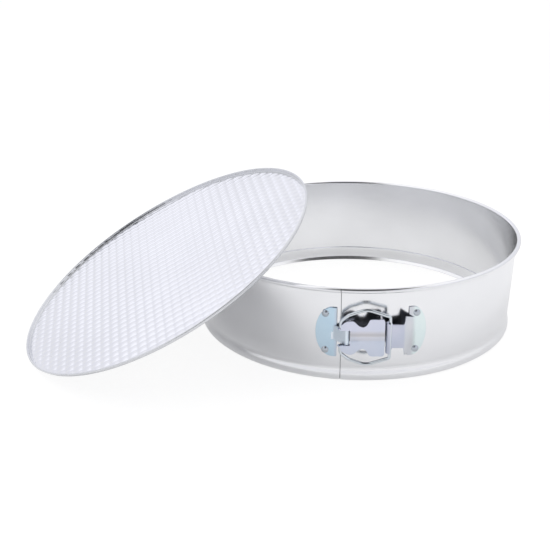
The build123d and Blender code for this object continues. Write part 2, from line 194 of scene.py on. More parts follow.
class Finishes(bpy.types.PropertyGroup):
    """Colours and gloss of the metals."""
    tin: colour("Band Tinplate", "Colour of the band", (0.90, 0.905, 0.92))
    base: colour("Base Tinplate", "Colour of the base plate", (0.89, 0.895, 0.925))
    # Painted shade: the turned-up edge is a darker copy of the base's tinplate, which keeps its
    # mirrored highlights below white
    base_edge: colour("Darkened Rolled Edge", "Colour of the base's turned-up edge", (0.74, 0.75, 0.77))
    zinc_blue: colour("Blue Zinc", "Zinc of the hinge bracket's plate", (0.58, 0.73, 0.84))
    zinc_lilac: colour("Lilac Zinc", "Zinc of the tongues", (0.59, 0.61, 0.71))
    # Painted light: the neck's zinc is lighter than the plate's, so its slope, which mirrors darker
    # places, still reads bright
    zinc_neck: colour("Neck Zinc", "Zinc of the hinge bracket's neck", (0.87, 0.94, 1.0))
    zinc_pink: colour("Rose Zinc", "Zinc of the catch bracket's riser", (0.69, 0.70, 0.73))
    zinc_green: colour("Green Zinc", "Zinc of the catch bracket's plate", (0.81, 0.90, 0.89))
    # The lever's lower half is a darker copy of its upper half, a painted shade, and the bright
    # line under the rib is a painted highlight
    lever: colour("Lever Zinc", "Colour of the lever's upper half", (0.66, 0.68, 0.79))
    lever_shade_below: colour("Lever Zinc Below", "Colour of the lever's lower half", (0.62, 0.66, 0.765))
    lever_warm: colour("Lever Rib Tint", "Straw tint along the lever's rib", (0.58, 0.57, 0.60))
    lever_highlight: colour("Lever Rib Highlight", "Bright line under the rib", (0.66, 0.67, 0.74))
    # Painted shade: a near-black colour on the latch's faces towards the band, standing in for the
    # shade between the latch and the band
    back: colour("Inner Face Shade", "Painted shade on the latch's inner faces", (0.10, 0.105, 0.12))
    # Painted shade: the lap's covered face is dark so that the seam's gap reads as a shadowed slit
    lap: colour("Lap Seam Shade", "Colour of the lap's covered face", (0.24, 0.24, 0.25))
    wire: colour("Bail Steel", "Colour of the wire", (0.70, 0.74, 0.77))
    rivet: colour("Rivet Steel", "Colour of the rivets and the pin", (0.55, 0.58, 0.62))
    satin: factor("Tinplate Roughness", "Roughness of the band", 0.18)
    polish: factor("Base Roughness", "Roughness of the base plate", 0.06)
    gloss: factor("Zinc Roughness", "Roughness of the latch", 0.16)


class StageSettings(bpy.types.PropertyGroup):
    """Camera, floor and light."""
    distance: length("Camera Distance", "From the camera to the middle of the ring", 0.9)
    rise: length("Aim Height", "Height of the point that the distance is measured from", 0.035)
    elevation: angle("Camera Elevation", "Height of the camera above the horizon", 21.705)
    yaw: angle("Camera Yaw", "Turn of the view to the right", -4.590)
    pitch: angle("Camera Pitch", "Turn of the view downwards", 0.127)
    roll: angle("Camera Roll", "Turn of the view about its own axis", -0.087)
    focal: FloatProperty(name="Focal Length", description="Lens, in millimetres on a 36 mm sensor",
                         default=70.05, min=1)
    floor: length("Floor Size", "Half the width of the floor", 6.0)
    floor_colour: colour("Floor", "Colour of the floor", (0.79, 0.79, 0.79))
    # Painted shade: the floor's colour darkens from Floor Fade Start to Floor Fade End, which dims
    # its mirror images in the metal
    floor_dim: colour("Far Floor", "Colour of the floor away from the pan", (0.48, 0.48, 0.49))
    floor_near: length("Floor Fade Start", "Distance where the floor begins to dim", 0.35)
    floor_far: length("Floor Fade End", "Distance where the floor is at its dimmest", 0.8)
    floor_white: factor("Floor White", "Share of plain white in the floor's look", 0.80)
    floor_glow: FloatProperty(name="Floor Glow", description="Strength of the floor's plain white",
                              default=1.12, min=0)


def sizes(name):
    """One of the scene's groups of settings."""
    return getattr(bpy.context.scene, "springform_" + name)


# Lines, rings and shells

def heading_vectors(headings):
    """Forward and left-hand unit vectors for headings in the plane."""
    forward = np.stack([np.cos(headings), np.sin(headings)], -1)
    left = np.stack([-np.sin(headings), np.cos(headings)], -1)
    return forward, left


def trace(start, heading, moves):
    """Follow a middle line of (length, 0) runs and (radius, turn) arcs, with left turns positive.

    A run has points at its ends and a short way inside them; an arc of radius R about C has
    the points C - side * R * left(heading) at equal steps of heading.
    """
    here = np.array(start, float)
    points, headings = [here[None]], [np.array([heading])]
    for size, turn in moves:
        if turn == 0:
            inset = min(SUPPORT, size / 3)
            along = np.array([inset, size - inset, size])
            turned = np.full(3, heading)
            line = here + along[:, None] * heading_vectors(turned)[0]
        else:
            side = math.copysign(1, turn)
            steps = max(3, math.ceil(abs(turn) / ARC_STEP))
            turned = heading + np.linspace(0, turn, steps + 1)[1:]
            centre = here + side * size * heading_vectors(np.array(heading))[1]
            line = centre - side * size * heading_vectors(turned)[1]
        points.append(line)
        headings.append(turned)
        here, heading = line[-1], turned[-1]
    return np.concatenate(points), np.concatenate(headings)


def sheet_ring(points, headings, left, right, round_start=True):
    """Closed outline round a middle line: its right side, a half-round end, its left side back,
    and a half-round or square start.  The ring begins half way round the start."""
    forward, side = heading_vectors(headings)
    middle = points + side * (left - right) / 2
    half = (left + right) / 2
    swing = np.radians([-54.0, -18.0, 18.0, 54.0])[:, None]
    nose = np.cos(swing) * forward[-1] + np.sin(swing) * side[-1]
    tail = -(np.cos(swing) * forward[0] + np.sin(swing) * side[0])
    ring = [middle - half * side, middle[-1] + half * nose, (middle + half * side)[::-1]]
    if not round_start:
        return np.concatenate(ring)
    ring.append(middle[0] + half * tail)
    return np.roll(np.concatenate(ring), 2, axis=0)


def turned_rings(ring, azimuths):
    """A (radius, height) ring turned about the band's axis: x = r sin a, y = -r cos a."""
    radius, height = ring.T
    x = np.outer(np.sin(azimuths), radius)
    y = -np.outer(np.cos(azimuths), radius)
    return np.stack([x, y, np.broadcast_to(height, x.shape)], -1)


def outward(points, quads):
    """Quads turned so that the volume they enclose is positive."""
    corners = points[quads]
    first = np.cross(corners[:, 1], corners[:, 2]) + np.cross(corners[:, 2], corners[:, 3])
    volume = np.einsum("ij,ij->", corners[:, 0], first)
    return quads if volume > 0 else quads[:, ::-1]


def shell(rings, closed=False):
    """Closed skin through a stack of rings: quads join each ring to the next.

    An open stack has each end ring filled with quads between the points that face each other.
    """
    rows, count = rings.shape[:2]
    index = np.arange(rows * count).reshape(rows, count)
    lower = index if closed else index[:-1]
    upper = np.roll(index, -1, 0) if closed else index[1:]
    sides = np.stack([lower, np.roll(lower, -1, 1), np.roll(upper, -1, 1), upper], -1)
    quads = [sides.reshape(-1, 4)]
    if not closed:
        near = np.arange(count // 2 - 1)
        across = np.stack([near, near + 1, count - 2 - near, count - 1 - near], -1)
        quads += [index[0][across][:, ::-1], index[-1][across]]
    points = rings.reshape(-1, 3)
    return points, outward(points, np.concatenate(quads))


def resample(points, count):
    """A closed line with its points at equal distances."""
    loop = np.vstack([points, points[:1]])
    walked = np.concatenate([[0], np.cumsum(np.linalg.norm(np.diff(loop, axis=0), axis=1))])
    wanted = np.linspace(0, walked[-1], count, endpoint=False)
    return np.stack([np.interp(wanted, walked, loop[:, k]) for k in range(2)], -1)


def rounded_line(corners, radii):
    """Line through corners with an arc of the given radius at each inner corner."""
    corners = np.array(corners, float)
    steps = np.diff(corners, axis=0)
    headings = np.arctan2(steps[:, 1], steps[:, 0])
    lengths = np.linalg.norm(steps, axis=1)
    turns = (np.diff(headings) + np.pi) % (2 * np.pi) - np.pi
    cut = np.abs(np.array(radii) * np.tan(turns / 2))
    lengths[:-1] -= cut
    lengths[1:] -= cut
    moves = [(lengths[0], 0)]
    for radius, turn, run in zip(radii, turns, lengths[1:]):
        moves += [(radius, turn), (run, 0)]
    return trace(corners[0], headings[0], moves)


def plate_rings(outline, centre, low, high, edge, spokes=8):
    """Rings over a flat plate with rounded edges, as (x, y, height): from its centre over the
    top, round the edge and back under it.

    Ring k is centre + share * (inset outline - centre), with the outline inset along its own
    normals by edge * (1 - cos a) while the height drops by edge * (1 - sin a).
    """
    ahead = np.roll(outline, -1, 0) - np.roll(outline, 1, 0)
    ahead /= np.linalg.norm(ahead, axis=1)[:, None]
    inward = np.stack([-ahead[:, 1], ahead[:, 0]], -1)
    middle = outline.mean(0)
    inward *= np.sign(np.einsum("ij,ij->i", inward, middle - outline).sum())
    bend = np.radians([90, 60, 30, 0])
    insets = edge * (1 - np.cos(bend))
    drops = edge * (1 - np.sin(bend))
    shares = np.linspace(0.02, 1, spokes + 1)
    flat = outline + inward * (edge + HAIR)
    flat_rings = centre + shares[:, None, None] * (flat - centre)
    edge_rings = outline + insets[:, None, None] * inward
    plan = np.concatenate([flat_rings, edge_rings, edge_rings[::-1], flat_rings[::-1]])
    flat = np.ones(spokes + 1)
    heights = np.concatenate([flat * high, high - drops, low + drops[::-1], flat * low])
    return np.concatenate([plan, np.broadcast_to(heights[:, None, None], (*plan.shape[:2], 1))], -1)


def moved(points, place):
    """Points carried by a matrix."""
    return points @ np.array(place.to_3x3()).T + np.array(place.translation)


def lathe_rings(profile, count=48):
    """A (radius, height) line turned about the third axis, as (x, y, height)."""
    around = np.linspace(0, 2 * np.pi, count, endpoint=False)
    x = np.outer(profile[:, 0], np.cos(around))
    y = np.outer(profile[:, 0], np.sin(around))
    return np.stack([x, y, np.broadcast_to(profile[:, 1:], x.shape)], -1)


def make_piece(name, shells, material):
    """One smooth-shaded object from closed shells, with creases only where faces turn sharply."""
    counts = np.cumsum([0] + [len(points) for points, _ in shells[:-1]])
    points = np.concatenate([points for points, _ in shells])
    faces = np.concatenate([faces + start for (_, faces), start in zip(shells, counts)])
    mesh = bpy.data.meshes.new(name)
    mesh.from_pydata(points, [], faces)
    mesh.shade_smooth()
    mesh.set_sharp_from_angle(angle=SHARP_ANGLE)
    mesh.materials.append(material)
    made = bpy.data.objects.new(name, mesh)
    bpy.context.scene.collection.objects.link(made)
    return made


def paint(made, material, side, first=0):
    """Give a material to the faces, from the first on, whose normal is within 60 degrees of the
    direction away from the band's axis (side 1) or towards it (side -1)."""
    mesh = made.data
    mesh.materials.append(material)
    normals, centres = np.empty((2, 3 * len(mesh.polygons)))
    mesh.polygons.foreach_get("normal", normals)
    mesh.polygons.foreach_get("center", centres)
    normals, centres = (values.reshape(-1, 3)[:, :2] for values in (normals, centres))
    facing = side * np.einsum("ij,ij->i", normals, centres) > 0.5 * np.linalg.norm(centres, axis=1)
    facing[:first] = False
    mesh.polygons.foreach_set("material_index", facing.astype(np.int32))


# Shapes that the pieces share

def band_line():
    """Start, heading and moves of the band's middle line, from the lip's edge to the rim."""
    band = sizes("band")
    half = band.sheet / 2
    roll = band.bead - half
    heading = math.pi / 2 - band.lean
    end_radius = FRONT_RIM - band.bead - roll * math.sin(heading)
    end_height = PAN_HEIGHT - half - roll * (1 - math.cos(heading))
    rise = end_height - band.groove_top
    foot_radius = end_radius - rise * math.tan(band.lean)
    inward = band.lean + band.crease
    crease_in = band.crease_radius * (1 + math.cos(band.lean) - 2 * math.cos(inward))
    crease_height = band.crease_radius * (2 * math.sin(inward) - math.sin(band.lean))
    bend = (band.groove_depth + crease_in) / (2 - 2 * math.cos(band.groove_slope))
    bend_height = 2 * bend * math.sin(band.groove_slope)
    lip_out = band.lip * math.cos(band.lip_slope) + band.corner * (1 - math.sin(band.lip_slope))
    lip_up = band.lip * math.sin(band.lip_slope) + band.corner * math.cos(band.lip_slope)
    groove_wall = band.groove_top - crease_height - bend_height - half - lip_up
    start = (foot_radius + band.groove_depth - lip_out, half)
    moves = [
        (band.lip, 0),
        (band.corner, math.pi / 2 - band.lip_slope),
        (groove_wall, 0),
        (bend, band.groove_slope),
        (bend, -band.groove_slope),
        (band.crease_radius, -inward),
        (band.crease_radius, band.crease),
        (rise / math.cos(band.lean), 0),
        (roll, -band.bead_turn),
    ]
    return start, moves, foot_radius, end_radius


def wall_radius(height):
    """Outer radius of the band's straight wall at a height."""
    band = sizes("band")
    foot_radius = band_line()[2]
    lean = (height - band.groove_top) * math.tan(band.lean)
    return foot_radius + band.sheet / 2 / math.cos(band.lean) + lean


def on_wall(across, up, out):
    """Points on the band near the latch: along it, up from the latch's middle, and out from it
    square to the wall."""
    latch, band = sizes("latch"), sizes("band")
    radius = wall_radius(latch.height + up)
    azimuth = latch.azimuth + np.arcsin(across / radius)
    reach = radius + out * math.cos(band.lean)
    height = latch.height + up - out * math.sin(band.lean)
    return np.stack([reach * np.sin(azimuth), -reach * np.cos(azimuth), height], -1)


def in_latch(across, up, out):
    """Points in latch space: the tangent and the outward direction at the latch's azimuth."""
    latch = sizes("latch")
    x = across * math.cos(latch.azimuth) + out * math.sin(latch.azimuth)
    y = across * math.sin(latch.azimuth) - out * math.cos(latch.azimuth)
    return np.stack(np.broadcast_arrays(x, y, latch.height + up), -1)


def latch_points():
    """Lever pin, bail ends and hook, as (across, out)."""
    latch = sizes("latch")
    radius = wall_radius(latch.height)
    pin_out = math.sqrt(radius ** 2 - latch.pin_across ** 2) + latch.pin_standoff
    hook_out = math.sqrt(radius ** 2 - latch.hook_across ** 2) + latch.hook_standoff
    pin = np.array([latch.pin_across, pin_out])
    bail = pin + np.array([-latch.crank, latch.over_centre])
    hook = np.array([latch.hook_across, hook_out])
    return pin, bail, hook


# Finishes

def add(tree, kind, inputs, **settings):
    """A new node with its settings and inputs, each input a value or another node's output."""
    node = tree.nodes.new("ShaderNode" + kind)
    for key, value in settings.items():
        setattr(node, key, value)
    for key, value in inputs.items():
        if isinstance(value, bpy.types.NodeSocket):
            tree.links.new(value, node.inputs[key])
        else:
            node.inputs[key].default_value = value
    return node


def shader(name):
    """A new material, its node tree, its shader and its object coordinates."""
    material = bpy.data.materials.new(name)
    material.use_nodes = True
    tree = material.node_tree
    where = add(tree, "TexCoord", {}).outputs["Object"]
    return material, tree, tree.nodes["Principled BSDF"], where


def maths(tree, operation, *values):
    """One step of arithmetic on numbers and outputs."""
    return add(tree, "Math", dict(enumerate(values)), operation=operation).outputs[0]


def carry(tree, value, start, end, low=0.0, high=1.0, curve="LINEAR"):
    """A value carried from the range start to end over to the range low to high."""
    inputs = {"Value": value, "From Min": start, "From Max": end, "To Min": low, "To Max": high}
    return add(tree, "MapRange", inputs, interpolation_type=curve).outputs["Result"]


def noise(tree, vector, stretch, detail=3.0):
    """Noise on a vector that is scaled by three numbers per metre."""
    scaled = add(tree, "Mapping", {"Vector": vector, "Scale": stretch}).outputs["Vector"]
    inputs = {"Vector": scaled, "Scale": 1.0, "Detail": detail}
    return add(tree, "TexNoise", inputs).outputs["Fac"]


def spread(tree, value, low, high):
    """A noise value, which keeps mostly between 0.3 and 0.7, carried to a range."""
    return carry(tree, value, 0.3, 0.7, low, high)


def blend(tree, share, first, second, mode="MIX"):
    """A colour that turns from the first to the second as the share grows."""
    inputs = {"Factor": share, "A": first, "B": second}
    for key in "AB":
        if not isinstance(inputs[key], bpy.types.NodeSocket):
            inputs[key] = (*inputs[key], 1)
    return add(tree, "Mix", inputs, data_type="RGBA", blend_type=mode).outputs["Result"]


def ramp(tree, value, stops, curve="LINEAR"):
    """A colour that follows a value from 0 to 1, from (value, colour) stops."""
    node = add(tree, "ValToRGB", {0: value})
    node.color_ramp.interpolation = curve
    elements = node.color_ramp.elements
    for element, (_, tint) in zip(elements, (stops[0], stops[-1])):
        element.color = (*tint, 1)
    for at, tint in stops[1:-1]:
        elements.new(at).color = (*tint, 1)
    return node.outputs["Color"]


def metal(name, tint, roughness, uneven, clouds, grain, waves, heights):
    """A metal with a cloudy tint, a grainy roughness, slow waves and a fine grain in its surface.

    The tint is a function of the tree, the place and the clouds; the clouds, the grain and the
    waves are given per metre; the heights are those of the waves and the grain.
    """
    material, tree, surface, where = shader(name)
    fine = noise(tree, where, grain)
    shine = spread(tree, fine, roughness * (1 - uneven), roughness * (1 + uneven))
    normal = None
    for wave, height in zip((noise(tree, where, waves, 1.0), fine), heights):
        inputs = {"Height": wave, "Strength": 1.0, "Distance": height}
        if normal is not None:
            inputs["Normal"] = normal
        normal = add(tree, "Bump", inputs).outputs["Normal"]
    colour_of = tint(tree, where, noise(tree, where, clouds))
    surface.inputs["Metallic"].default_value = 1.0
    for socket, value in (("Base Color", colour_of), ("Roughness", shine), ("Normal", normal)):
        tree.links.new(value, surface.inputs[socket])
    return material


def tinplate(name, tint, roughness, grain, waviness):
    """Satin tinplate: fine rolling grain, soft clouds in the tint and a slightly wavy sheet."""
    def cloudy(tree, where, cloud):
        darker = [0.955 * level for level in tint]
        return blend(tree, spread(tree, cloud, 0, 1), darker, tint)

    return metal(name, cloudy, roughness, uneven=0.15, clouds=(22, 22, 30), grain=grain,
                 waves=(14, 14, 10), heights=(waviness, 0.0000012))


def zinc(name, axis, stops, roughness):
    """Clear-passivated zinc: bands of colour along one axis, from (metres, colour) stops, with
    faint clouds and a frosted grain. On the lever some bands are painted shade and a painted
    highlight."""
    low, high = stops[0][0], stops[-1][0]
    shares = [((at - low) / (high - low), tint) for at, tint in stops]

    def tint(tree, where, cloud):
        along = add(tree, "SeparateXYZ", {0: where}).outputs[axis]
        bands = ramp(tree, carry(tree, along, low, high), shares, "EASE")
        shade = blend(tree, spread(tree, cloud, 0, 1), (0.91, 0.937, 0.964), (1, 1, 1))
        return blend(tree, 1.0, bands, shade, "MULTIPLY")

    return metal(name, tint, roughness, uneven=0.2, clouds=(70, 70, 70), grain=(2600, 2600, 2600),
                 waves=(130, 130, 130), heights=(0.00004, 0.0000015))


def plain_zinc(name, tint, roughness):
    """Zinc of one colour with its clouds."""
    return zinc(name, "X", [(-0.05, tint), (0.05, tint)], roughness)


# Pieces

class PAN_OT_band(bpy.types.Operator):
    """Build the pan's wall: two halves with a rolled rim, a groove and an inward lip"""
    bl_idname = "pan.band"
    bl_label = "Band"

    def execute(self, context):
        band, finish = sizes("band"), sizes("finish")
        start, moves, _, end_radius = band_line()
        half = band.sheet / 2
        skin = tinplate("satin_tinplate", finish.tin, finish.satin, grain=(90, 90, 5200),
                        waviness=0.00006)
        ring = sheet_ring(*trace(start, band.lip_slope, moves), half, half)
        gap = band.seam_gap / FRONT_RIM / 2
        left_end = band.seam - gap
        right = shell(turned_rings(ring, np.linspace(band.seam + gap, math.pi, band.columns)))
        left = shell(turned_rings(ring, np.linspace(-math.pi, left_end, band.columns)))
        lap_line = trace(start, band.lip_slope, moves[:-1])
        outer = half + band.lap_gap
        lap_ring = sheet_ring(*lap_line, outer + band.sheet, -outer)
        step_depth = outer + 0.95 * band.sheet
        step_ring = sheet_ring(*lap_line, step_depth, 0.0)
        step_start = left_end - band.lap_step / FRONT_RIM
        lap_turn = np.linspace(step_start + gap, band.lap_end, band.columns // 8)
        lap = shell(turned_rings(lap_ring, lap_turn))
        step = shell(turned_rings(step_ring, np.linspace(step_start, left_end - gap, 5)))
        made = make_piece("band_wall_left", [left, step, lap], skin)
        # Painted shade: the outward faces of the step and the lap, seen only through the seam, get
        # a dark colour
        paint(made, plain_zinc("painted_seam_shade", finish.lap, roughness=0.4), 1, first=len(left[1]))
        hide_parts("band_left")
        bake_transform(made)
        made = make_piece("band_wall_right", [right], skin)
        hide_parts("band_right")
        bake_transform(made)
        return {"FINISHED"}


def pillow(across, along):
    """Height share of the waffle pattern, at places in units of its pitch.

    In each square, with u and v from -1 to 1 across it, the height is 1 - (u u + v v) / 2: a
    round pillow with a narrow valley between it and its neighbours.
    """
    first = 2 * (across - np.floor(across)) - 1
    second = 2 * (along - np.floor(along)) - 1
    return 1 - (first ** 2 + second ** 2) / 2


class PAN_OT_base(bpy.types.Operator):
    """Build the loose base: a waffled floor and a turned-up, rolled edge"""
    bl_idname = "pan.base"
    bl_label = "Base"

    def execute(self, context):
        base, band, finish = sizes("base"), sizes("band"), sizes("finish")
        _, _, foot_radius, end_radius = band_line()
        half = base.sheet / 2
        roll = base.bead - half
        outside = foot_radius + band.groove_depth - band.sheet / 2 - base.gap
        floor_radius = outside - 2 * base.bead + half - base.corner
        corner_height = half + base.corner
        overlap = 0.0001
        moves = [
            (overlap, 0),
            (base.corner, math.pi / 2),
            (base.edge - half - roll - corner_height, 0),
            (roll, -base.bead_turn),
        ]
        line = trace((floor_radius - overlap, half), 0.0, moves)
        ring = sheet_ring(*line, half, half, round_start=False)
        around = np.linspace(0, 2 * np.pi, base.columns, endpoint=False)
        rim = shell(turned_rings(ring, around), closed=True)
        floor = self.floor(floor_radius - overlap)

        rise = (floor_radius * math.sin(base.tilt) - corner_height * math.cos(base.tilt)
                + corner_height)
        bead_radius = end_radius + (band.bead - band.sheet / 2) * math.cos(band.lean)
        bead_height = PAN_HEIGHT - band.bead
        drop = (bead_height - rise) * math.cos(base.tilt) + band.bead + base.rest_gap
        reach = bead_radius + drop / math.sin(base.tilt)
        place = (Matrix.Rotation(base.lean - math.pi / 2, 4, "Z")
                 @ Matrix.Translation((reach, base.shift, rise))
                 @ Matrix.Rotation(base.tilt, 4, "Y"))
        # The edge takes the darker copy of the tinplate, a painted shade
        for name, shape, skin, tint, roughness in (
                ("base_edge", rim, "darkened_rolled_tinplate", finish.base_edge, finish.satin),
                ("base_floor", floor, "bright_tinplate", finish.base, finish.polish)):
            skin = tinplate(skin, tint, roughness, grain=(1500, 1500, 1500), waviness=0.00002)
            made = make_piece(name, [(moved(shape[0], place), shape[1])], skin)
            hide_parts("base_plate")
            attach(made, "base")
        return {"FINISHED"}

    def floor(self, radius):
        """Waffled disc with a top, an underside and a thin wall round it.

        Points of a square grid, laid along the pattern, keep their place inside the radius and
        are drawn in to it outside; the height is depth * pillow * margin, where the margin
        rises smoothly from 0 at the edge to 1.
        """
        base = sizes("base")
        step = base.pitch / base.samples
        reach = math.ceil(radius / step) + 1
        ticks = np.arange(-reach, reach + 1) * step
        along, across = np.meshgrid(ticks, ticks)
        away = np.hypot(along, across)
        inside = away < radius * 0.9995
        drawn = np.minimum(1, radius / np.maximum(away, radius / 2))
        along, across = along * drawn, across * drawn
        margin = np.clip((radius - away) / base.plain, 0, 1)
        lift = pillow(along / base.pitch, across / base.pitch) * margin ** 2 * (3 - 2 * margin)
        height = base.depth * lift
        x = along * math.cos(base.turn) - across * math.sin(base.turn)
        y = along * math.sin(base.turn) + across * math.cos(base.turn)
        top, under = (np.stack([x, y, z], -1).reshape(-1, 3) for z in (height + base.sheet, height))

        index = np.arange(along.size).reshape(along.shape)
        quads = np.stack([index[:-1, :-1], index[:-1, 1:], index[1:, 1:], index[1:, :-1]], -1)
        quads = quads[inside[quads // along.shape[1], quads % along.shape[1]].any(-1)]
        starts = quads.ravel()
        ends = np.roll(quads, -1, 1).ravel()
        lonely = ~np.isin(starts * along.size + ends, ends * along.size + starts)
        rim_start, rim_end = starts[lonely], ends[lonely]
        below = along.size
        wall = np.stack([rim_end, rim_start, rim_start + below, rim_end + below], -1)
        faces = np.concatenate([quads, quads[:, ::-1] + below, wall])
        used, faces = np.unique(faces, return_inverse=True)
        points = np.concatenate([top, under])[used]
        return points, outward(points, faces.reshape(-1, 4))


class PAN_OT_brackets(bpy.types.Operator):
    """Build the two riveted brackets: the hinge bracket and the catch bracket"""
    bl_idname = "pan.brackets"
    bl_label = "Brackets"

    def execute(self, context):
        latch, finish = sizes("latch"), sizes("finish")
        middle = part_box("lever_pin")[0].x + PIN_HEAD_RADIUS - latch.pin_across
        stops = [(-0.0245, finish.zinc_blue), (-0.0195, finish.zinc_lilac),
                 (0.0265, finish.zinc_lilac), (0.0285, finish.zinc_pink),
                 (0.0325, finish.zinc_pink), (0.0360, finish.zinc_green)]
        bright = zinc("passivated_zinc", "X", [(middle + at, tint) for at, tint in stops],
                      finish.gloss)
        # Painted shade: the brackets' faces towards the band get the near-black colour
        back = plain_zinc("painted_shade_back", finish.back, roughness=0.35)
        # Painted light: a rough zinc whose colour is lightened so that the neck reads bright
        satin = plain_zinc("lightened_neck_zinc", finish.zinc_neck, roughness=0.5)
        for name, skin, surface in (
                ("hinge_bracket", self.plate(inner=-0.0207, centre=-0.024, bulge=0.012), bright),
                ("hinge_knuckle", self.knuckle(), satin)):
            made = make_piece(name, [skin], surface)
            paint(made, back, -1)
            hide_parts("latch_bracket")
            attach(made, "ring_left")
        right = [self.plate(inner=0.031, centre=0.034, bulge=0.0104), self.hook()]
        made = make_piece("catch_bracket", right, bright)
        paint(made, back, -1)
        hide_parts("hook_bracket")
        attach(made, "ring_right")
        return {"FINISHED"}

    def plate(self, inner, centre, bulge):
        """Plate with a straight inner side and a half-oval outer side, laid on the wall."""
        latch = sizes("latch")
        half, corner, shift = latch.plate_half, 0.0006, 0.002
        side = math.copysign(1, centre - inner)
        swing = np.linspace(math.pi / 2, -math.pi / 2, 60)
        oval = np.stack([centre + side * bulge * np.cos(swing), half * np.sin(swing)], -1)
        corners = rounded_line([(centre, -half), (inner, -half), (inner, half), (centre, half)],
                               [corner, corner])[0]
        outline = resample(np.vstack([oval, corners[1:-1]]), 200)
        middle = np.array([centre + side * shift, 0])
        rings = plate_rings(outline, middle, HAIR, latch.sheet, latch.edge)
        return shell(on_wall(*np.moveaxis(rings, -1, 0)))

    def foot(self, point, heading, bend, lead):
        """Start, heading and first moves of a strap that lies on the wall for a short lead, leaves
        it in a bend and runs straight to a point."""
        latch = sizes("latch")
        ahead = np.array([math.cos(heading), math.sin(heading)])
        along = point @ ahead
        radius = wall_radius(latch.height) + latch.sheet / 2
        run = along - math.sqrt(along ** 2 - point @ point + radius ** 2)
        leave = point - run * ahead
        level = math.asin(-leave[0] / np.linalg.norm(leave))
        if ahead[0] < 0:
            level += math.pi
        turn = heading - level
        cut = bend * math.tan(abs(turn) / 2)
        start = leave - (lead + cut) * np.array([math.cos(level), math.sin(level)])
        return start, level, [(lead, 0), (bend, turn), (run - cut, 0)]

    def knuckle(self):
        """Tongue that leaves its plate in a soft bend and rises to a roll round the pin."""
        roll = PIN_RADIUS + sizes("latch").sheet / 2
        away = np.array([-math.sin(TONGUE_SLOPE), math.cos(TONGUE_SLOPE)])
        start, level, moves = self.foot(latch_points()[0] + roll * away, TONGUE_SLOPE,
                                        bend=TONGUE_BEND, lead=0.0012)
        points, headings = trace(start, level, moves + [(roll, -KNUCKLE_TURN)])
        return shell(self.strap(points, headings, np.full(len(points), HINGE_TONGUE_HALF)))

    def hook(self):
        """Stand-off tongue that ends in a taller, open hook for the bail."""
        latch = sizes("latch")
        hook = latch_points()[2]
        curl = latch.wire + latch.hook_gap + latch.sheet / 2
        bend_across, taper, hold = 0.027, 0.001, 0.0011
        bend_start = np.array([bend_across + TONGUE_BEND * math.sin(TONGUE_SLOPE),
                               hook[1] - curl - TONGUE_BEND * (1 - math.cos(TONGUE_SLOPE))])
        begin, level, moves = self.foot(bend_start, math.pi - TONGUE_SLOPE, bend=0.0012, lead=0.001)
        arm = bend_across - latch.hook_across - taper - hold
        moves += [(TONGUE_BEND, TONGUE_SLOPE), (arm, 0), (taper, 0), (hold, 0), (curl, -math.pi)]
        points, headings = trace(begin, level, moves)
        steps = np.linalg.norm(np.diff(points, axis=0), axis=1)
        walked = np.concatenate([[0], np.cumsum(steps)])
        bend_end = sum(size * (abs(turn) or 1) for size, turn in moves[:4])
        down = walked < bend_end
        flare = [np.interp(-across, -points[down, 0], walked[down]) for across, _ in CATCH_FLARE]
        places = [0, *flare, bend_end + arm, bend_end + arm + taper, walked[-1]]
        halves = [CATCH_FLARE[0][1], *(half for _, half in CATCH_FLARE), CATCH_FLARE[-1][1],
                  HOOK_HALF, HOOK_HALF]
        return shell(self.strap(points, headings, np.interp(walked, places, halves)))

    def strap(self, points, headings, widths):
        """A rounded flat bar along a line, in latch space."""
        latch = sizes("latch")
        side = heading_vectors(headings)[1]
        bend = np.radians([0, 30, 60, 90])
        arc_u, arc_v = latch.edge * np.cos(bend), latch.edge * np.sin(bend)
        half = latch.sheet / 2 - latch.edge
        out = np.concatenate([half + arc_v, (half + arc_v)[::-1]])
        out = np.concatenate([out, -out])
        reach = np.concatenate([arc_u, -arc_u[::-1], -arc_u, arc_u[::-1]])
        side_of = np.repeat([1, -1, -1, 1], 4)
        up = side_of * (widths[:, None] - latch.edge) + reach
        plan = points[:, None] + out[None, :, None] * side[:, None]
        order = np.roll(np.arange(16), 4)
        return in_latch(plan[:, order, 0], up[:, order], plan[:, order, 1])


